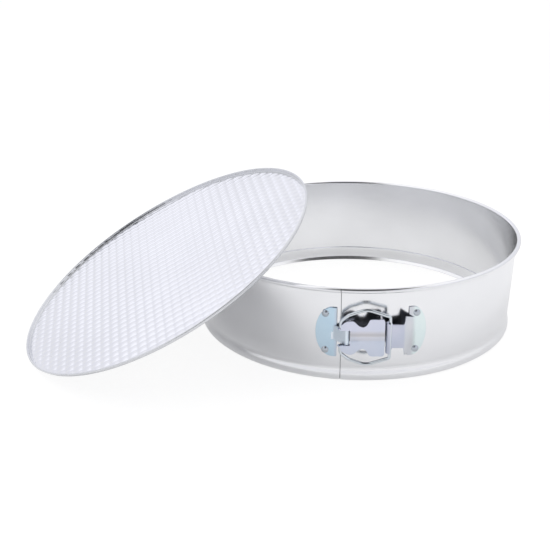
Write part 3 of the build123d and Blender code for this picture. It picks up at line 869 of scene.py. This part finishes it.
class PAN_OT_rivets(bpy.types.Operator):
    """Build the four domed rivets and the lever's pin"""
    bl_idname = "pan.rivets"
    bl_label = "Rivets and Pin"

    def execute(self, context):
        latch, finish = sizes("latch"), sizes("finish")
        steel = plain_zinc("rivet_steel", finish.rivet, roughness=0.2)
        rise = latch.plate_half - latch.rivet_drop
        for name, node, body, across in (
                ("hinge_rivets", "latch_rivets", "ring_left", -0.029),
                ("catch_rivets", "hook_rivets", "ring_right", 0.0368)):
            shells = [self.rivet(across, up) for up in (rise, -rise)]
            made = make_piece(name, shells, steel)
            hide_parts(node)
            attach(made, body)
        made = make_piece("hinge_pin", [self.pin()], steel)
        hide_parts("lever_pin")
        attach(made, "ring_left")
        return {"FINISHED"}

    def rivet(self, across, up):
        """Domed head, shank and flat inner head, turned about a line square to the wall."""
        latch, band = sizes("latch"), sizes("band")
        head, rise = latch.rivet_head, latch.rivet_rise
        soft, shank, flat, tip = 0.00025, 0.0014, 0.0006, 0.00003
        dome = (head ** 2 + rise ** 2) / (2 * rise)
        swing = np.linspace(0.01, math.asin((head - soft) / dome), 12)
        seat, inner = latch.sheet + HAIR, -band.sheet - 2 * HAIR
        skin = np.stack([dome * np.sin(swing), latch.sheet + rise - dome * (1 - np.cos(swing))], -1)
        rest = [(head, latch.sheet + soft), (head, seat), (shank, seat), (shank, inner),
                (head - soft, inner), (head, inner - soft), (head - soft, inner - flat),
                (tip, inner - flat)]
        radius = wall_radius(latch.height + up)
        azimuth = latch.azimuth + math.asin(across / radius)
        place = (Matrix.Translation((0, 0, latch.height + up)) @ Matrix.Rotation(azimuth, 4, "Z")
                 @ Matrix.Translation((0, -radius, 0))
                 @ Matrix.Rotation(math.pi / 2 + band.lean, 4, "X"))
        return shell(moved(lathe_rings(np.vstack([skin, rest])), place))

    def pin(self):
        """Straight pin with a small rounded head at each end."""
        pin = latch_points()[0]
        upper = np.array([(HAIR, 0.0007), (0.0009, 0.0007), (0.00125, 0.0006),
                          (PIN_HEAD_RADIUS, 0.0004), (PIN_HEAD_RADIUS, 0.0), (PIN_RADIUS, 0.0)])
        side_gap = 0.00005
        upper[:, 1] += EAR_INNER + sizes("latch").sheet + side_gap
        rings = lathe_rings(np.vstack([upper, upper[::-1] * (1, -1)]), 32)
        return shell(in_latch(pin[0] + rings[..., 0], rings[..., 2], pin[1] + rings[..., 1]))


class PAN_OT_lever(bpy.types.Operator):
    """Build the lever: a waisted plate with a soft rib and two ears"""
    bl_idname = "pan.lever"
    bl_label = "Lever"

    def execute(self, context):
        latch, finish = sizes("latch"), sizes("finish")
        # Bands up the lever: darker lower half as painted shade, painted highlight line under the
        # rib, darker warmer band along the rib, upper half's colour
        stops = [(-0.0026, finish.lever_shade_below), (-0.0010, finish.lever_highlight),
                 (0.0006, finish.lever_highlight), (0.0019, finish.lever_warm),
                 (0.0030, finish.lever_warm), (0.0065, finish.lever)]
        bright = zinc("lilac_zinc", "Z", [(latch.height + at, tint) for at, tint in stops],
                      finish.gloss * 0.9)
        roof = latch_points()[0][1] + latch.lever_lift
        made = make_piece("lever_plate", [self.plate(roof)], bright)
        # Painted shade: the lever's back faces get the near-black colour, so the gap behind the
        # lever reads dark
        made.data.materials.append(plain_zinc("painted_shade_lever_back", finish.back, roughness=0.35))
        solid = made.modifiers.new("thickness", "SOLIDIFY")
        solid.thickness = latch.sheet
        solid.offset = -1
        solid.material_offset = 1
        solid.material_offset_rim = 0
        edge = made.modifiers.new("edges", "BEVEL")
        edge.width = latch.edge
        edge.segments = 3
        edge.limit_method = "ANGLE"
        edge.angle_limit = SHARP_ANGLE
        edge.harden_normals = True
        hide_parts("lever")
        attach(made, "lever")
        ears = [self.ear(roof + latch.sheet / 2, side) for side in (1, -1)]
        made = make_piece("lever_ears", ears, bright)
        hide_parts("lever")
        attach(made, "lever")
        return {"FINISHED"}

    def top(self, across):
        """Half the lever's height along it: a smooth line through its set points, a cubic between
        each two that keeps their slopes."""
        x, y = np.array(LEVER_TOP).T / 1000
        slope = np.gradient(y, x)
        slot = np.clip(np.searchsorted(x, across, "right") - 1, 0, len(x) - 2)
        wide = x[slot + 1] - x[slot]
        t = np.clip((across - x[slot]) / wide, 0, 1)
        ends = (2 * t ** 3 - 3 * t ** 2 + 1) * y[slot] + (3 * t ** 2 - 2 * t ** 3) * y[slot + 1]
        slopes = (t ** 3 - 2 * t ** 2 + t) * slope[slot] + (t ** 3 - t ** 2) * slope[slot + 1]
        return ends + slopes * wide

    def plate(self, roof):
        """Outer face of the lever, as rows across it.

        One grid runs from the throat's height to the top line, and one from the middle to the
        throat's height past the throat's end; each has its mirror image below the middle.  The
        face stands out by the rib's height times exp(-(up / width) ** 2), with up counted from
        the rib's line, and the short groove under the rib is cut in the same way.
        """
        latch = sizes("latch")
        throat, throat_end, prong_rows = 0.00595, -0.0118, 18
        start, end = LEVER_TOP[0][0] / 1000, LEVER_TOP[-1][0] / 1000
        prongs = np.linspace(start, throat_end, prong_rows, endpoint=False)
        rows = np.concatenate([prongs, np.linspace(throat_end, end, 76)])
        upper = throat + np.linspace(0, 1, 32) * (self.top(rows)[:, None] - throat)
        solid = rows[prong_rows:]
        lower = np.broadcast_to(throat * np.linspace(0, 1, 24), (len(solid), 24))
        places, quads, used = [], [], 0
        for row, up in ((rows, upper), (solid, lower)):
            for side in (1, -1):
                index = used + np.arange(up.size).reshape(up.shape)
                corners = [index[:-1, :-1], index[1:, :-1], index[1:, 1:], index[:-1, 1:]]
                quads.append(np.stack(corners[::side], -1).reshape(-1, 4))
                across = np.broadcast_to(row[:, None], up.shape)
                places.append(np.stack([across, side * up], -1).reshape(-1, 2))
                used += up.size
        across, up = np.concatenate(places).T

        def ridge(height, line, width):
            return height * np.exp(-((up - line) / width) ** 2)

        crown, half_height, sink = 0.0002, 0.0144, 0.4 * latch.crease
        groove_start, groove_fade = -0.0035, -0.002
        groove = (ridge(latch.streak, line=-0.0024, width=0.0005)
                  * np.clip((across - groove_start) / groove_fade, 0, 1))
        out = (roof + latch.sheet - crown * (up / half_height) ** 2 - sink
               + ridge(latch.crease, line=0.001, width=0.0024) - groove)
        points = in_latch(across, up, out)
        _, first, same = np.unique(np.round(points / 1e-7).astype(np.int64), axis=0,
                                   return_index=True, return_inverse=True)
        return points[first], same.ravel()[np.concatenate(quads)]

    def ear(self, roof, side):
        """Ear that turns on the pin and holds the bail's end: the outline round four circles in
        the across-out plane, with a support of the largest centre . direction + radius."""
        latch = sizes("latch")
        pin, bail, _ = latch_points()
        around = np.linspace(0, 2 * np.pi, 90, endpoint=False)
        radial, ahead = heading_vectors(around)
        start, end, ear, corner = -0.0148, -0.0086, 0.0021, 0.0002
        nodes = np.array([pin, bail, (start, roof - corner), (end, roof - corner)])
        support = (radial @ nodes.T + [ear, ear, corner, corner]).max(1)
        change = (np.roll(support, -1) - np.roll(support, 1)) / (2 * (around[1] - around[0]))
        outline = resample(support[:, None] * radial + change[:, None] * ahead, 120)
        rings = plate_rings(outline, outline.mean(0), EAR_INNER, EAR_INNER + latch.sheet,
                            latch.edge, 3)
        return shell(in_latch(rings[..., 0], side * rings[..., 2], rings[..., 1]))


class PAN_OT_bail(bpy.types.Operator):
    """Build the wire bail that the lever pulls over the hook"""
    bl_idname = "pan.bail"
    bl_label = "Bail"

    def execute(self, context):
        latch, finish = sizes("latch"), sizes("finish")
        _, bail, hook = latch_points()
        reach = np.linalg.norm(hook - bail)
        upper = [(0, EAR_INNER), *BAIL_BENDS, (reach, 0.0163)]
        lower = [(across, -up) for across, up in reversed(upper)]
        radii = [0.004, 0.006, 0.012, 0.0022]
        points, headings = rounded_line(upper + lower, radii + radii[::-1])
        side = heading_vectors(headings)[1]
        around = np.linspace(0, 2 * np.pi, 24, endpoint=False)
        wide = points[:, None] + latch.wire * np.cos(around)[None, :, None] * side[:, None]
        ahead = (hook - bail) / reach
        square = np.array([-ahead[1], ahead[0]])
        plan = bail + wide[..., :1] * ahead + latch.wire * np.sin(around)[:, None] * square
        rings = in_latch(plan[..., 0], wide[..., 1], plan[..., 1])
        steel = plain_zinc("bright_wire", finish.wire, roughness=finish.gloss * 0.8)
        made = make_piece("bail_wire", [shell(rings)], steel)
        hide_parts("bail")
        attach(made, "bail")
        return {"FINISHED"}


class PAN_OT_stage(bpy.types.Operator):
    """Set the camera, the pale floor and the soft light round the pan"""
    bl_idname = "pan.stage"
    bl_label = "Stage"

    def execute(self, context):
        context.scene.view_settings.view_transform = "Standard"
        self.camera(context)
        self.floor(context)
        self.world(context)
        return {"FINISHED"}

    def camera(self, context):
        """Camera on a circle about the ring's middle, turned by yaw, pitch and roll."""
        stage = sizes("stage")
        lens = bpy.data.cameras.new("camera")
        lens.sensor_width = 36.0
        lens.lens = stage.focal
        lens.clip_start, lens.clip_end = 0.01, 50
        made = bpy.data.objects.new("camera", lens)
        context.scene.collection.objects.link(made)
        turns = ((-stage.yaw, "Z"), (math.pi / 2 - stage.elevation - stage.pitch, "X"),
                 (stage.roll, "Z"))
        first, second, third = (Matrix.Rotation(turn, 3, axis) for turn, axis in turns)
        made.location = (0, -stage.distance * math.cos(stage.elevation),
                         stage.distance * math.sin(stage.elevation) + stage.rise)
        made.rotation_euler = (first @ second @ third).to_euler()
        context.scene.camera = made

    def floor(self, context):
        """Wide plane under the pan: matt white that keeps the shadow, and shows white itself."""
        stage = sizes("stage")
        far, drop = stage.floor, 0.0001
        mesh = bpy.data.meshes.new("floor")
        corners = [(-far, -far, 0), (far, -far, 0), (far, far, 0), (-far, far, 0)]
        mesh.from_pydata(corners, [], [(0, 1, 2, 3)])
        made = bpy.data.objects.new("floor", mesh)
        context.scene.collection.objects.link(made)
        made.location.z = -drop
        material, tree, surface, where = shader("white_floor")
        # Painted shade: the floor's colour darkens with the distance from the pan
        away = add(tree, "VectorMath", {0: where}, operation="LENGTH").outputs["Value"]
        fade = carry(tree, away, stage.floor_near, stage.floor_far, curve="SMOOTHSTEP")
        tint = blend(tree, fade, stage.floor_colour, stage.floor_dim)
        tree.links.new(tint, surface.inputs["Base Color"])
        surface.inputs["Roughness"].default_value = 0.9
        surface.inputs["Specular IOR Level"].default_value = 0.0
        rays = add(tree, "LightPath", {}).outputs
        shown = maths(tree, "MULTIPLY", rays["Is Camera Ray"], stage.floor_white)
        # Painted light: in mirror images the floor glows more plain white inside the ring than
        # outside it
        mirrored = carry(tree, away, **FLOOR_MIRRORED)
        share = maths(tree, "MULTIPLY_ADD", rays["Is Glossy Ray"], mirrored, shown)
        glow = add(tree, "Emission", {"Color": (1, 1, 1, 1), "Strength": stage.floor_glow})
        mix = add(tree, "MixShader", {0: share, 1: surface.outputs[0], 2: glow.outputs[0]})
        tree.links.new(mix.outputs[0], tree.nodes["Material Output"].inputs["Surface"])
        mesh.materials.append(material)

    def world(self, context):
        """White studio all round, brighter overhead for the light that it gives than for its
        mirror images, with two dark patches above the front and one bright patch at the back."""
        world = bpy.data.worlds.new("studio")
        context.scene.world = world
        world.use_nodes = True
        tree = world.node_tree
        where = add(tree, "TexCoord", {}).outputs["Generated"]
        x, y, z = add(tree, "SeparateXYZ", {0: where}).outputs
        rays = add(tree, "LightPath", {}).outputs
        lighting, mirrored = (ramp(tree, z, LOW_SKY + top) for top in (LIGHTING_SKY, MIRRORED_SKY))
        sky = blend(tree, rays["Is Glossy Ray"], lighting, mirrored)

        def patch(first, second, centre, reach, fade, level):
            """Share of the light that a patch lets through: its level at the centre and 1 outside
            it, with a smooth change over the fade, whose distances are shares of the reach."""
            squares = []
            for value, middle, size in zip((first, second), centre, reach):
                off = maths(tree, "DIVIDE", maths(tree, "SUBTRACT", value, middle), size)
                squares.append(maths(tree, "MULTIPLY", off, off))
            away = maths(tree, "SQRT", maths(tree, "ADD", *squares))
            return carry(tree, away, *fade, level, 1.0, "SMOOTHSTEP")

        ahead = maths(tree, "MULTIPLY", y, -1.0)
        over = maths(tree, "ARCTAN2", z, ahead)
        turned, raised = maths(tree, "ARCTAN2", x, ahead), maths(tree, "ARCSINE", z)
        high = patch(x, over, centre=(0.15, 1.05), reach=(0.38, 0.80), fade=(0.75, 1.15),
                     level=0.09)
        low = patch(x, over, centre=(0.0, 0.50), reach=(0.42, 0.32), fade=(0.7, 1.1), level=0.09)
        box = patch(turned, raised, centre=(-2.58, 0.30), reach=(0.18, 0.17), fade=(0.35, 1.0),
                    level=1.26)
        strength = maths(tree, "MULTIPLY", maths(tree, "MINIMUM", high, low), box)
        level = add(tree, "CombineColor", dict.fromkeys(range(3), strength)).outputs["Color"]
        lit = blend(tree, 1.0, sky, level, "MULTIPLY")
        shown = blend(tree, rays["Is Camera Ray"], lit, (1, 1, 1))
        tree.links.new(shown, tree.nodes["Background"].inputs["Color"])


PIECES = (PAN_OT_band, PAN_OT_base, PAN_OT_brackets, PAN_OT_rivets, PAN_OT_lever, PAN_OT_bail)
OPERATORS = PIECES + (PAN_OT_stage,)
SETTINGS = {
    "band": BandSizes,
    "base": BaseSizes,
    "latch": LatchSizes,
    "finish": Finishes,
    "stage": StageSettings,
}


class PAN_PT_sidebar(bpy.types.Panel):
    """Buttons and settings for the springform pan."""
    bl_idname = "PAN_PT_sidebar"
    bl_label = "Springform Pan"
    bl_space_type = "VIEW_3D"
    bl_region_type = "UI"
    bl_category = "Springform Pan"

    def draw(self, context):
        for operator in OPERATORS:
            self.layout.operator(operator.bl_idname)
        for name in SETTINGS:
            box = self.layout.box()
            box.label(text=name.capitalize())
            group = sizes(name)
            for key in group.bl_rna.properties.keys():
                if key not in ("rna_type", "name"):
                    box.prop(group, key)


def register():
    for group in SETTINGS.values():
        bpy.utils.register_class(group)
    for name, group in SETTINGS.items():
        setattr(bpy.types.Scene, "springform_" + name, PointerProperty(type=group))
    for operator in OPERATORS:
        bpy.utils.register_class(operator)
    bpy.utils.register_class(PAN_PT_sidebar)


def unregister():
    bpy.utils.unregister_class(PAN_PT_sidebar)
    for operator in reversed(OPERATORS):
        bpy.utils.unregister_class(operator)
    for name, group in SETTINGS.items():
        delattr(bpy.types.Scene, "springform_" + name)
        bpy.utils.unregister_class(group)


def main():
    register()
    bpy.ops.pan.stage()
    bpy.ops.pan.band()
    bpy.ops.pan.base()
    bpy.ops.pan.brackets()
    bpy.ops.pan.rivets()
    bpy.ops.pan.lever()
    bpy.ops.pan.bail()


if __name__ == "__main__":
    main()
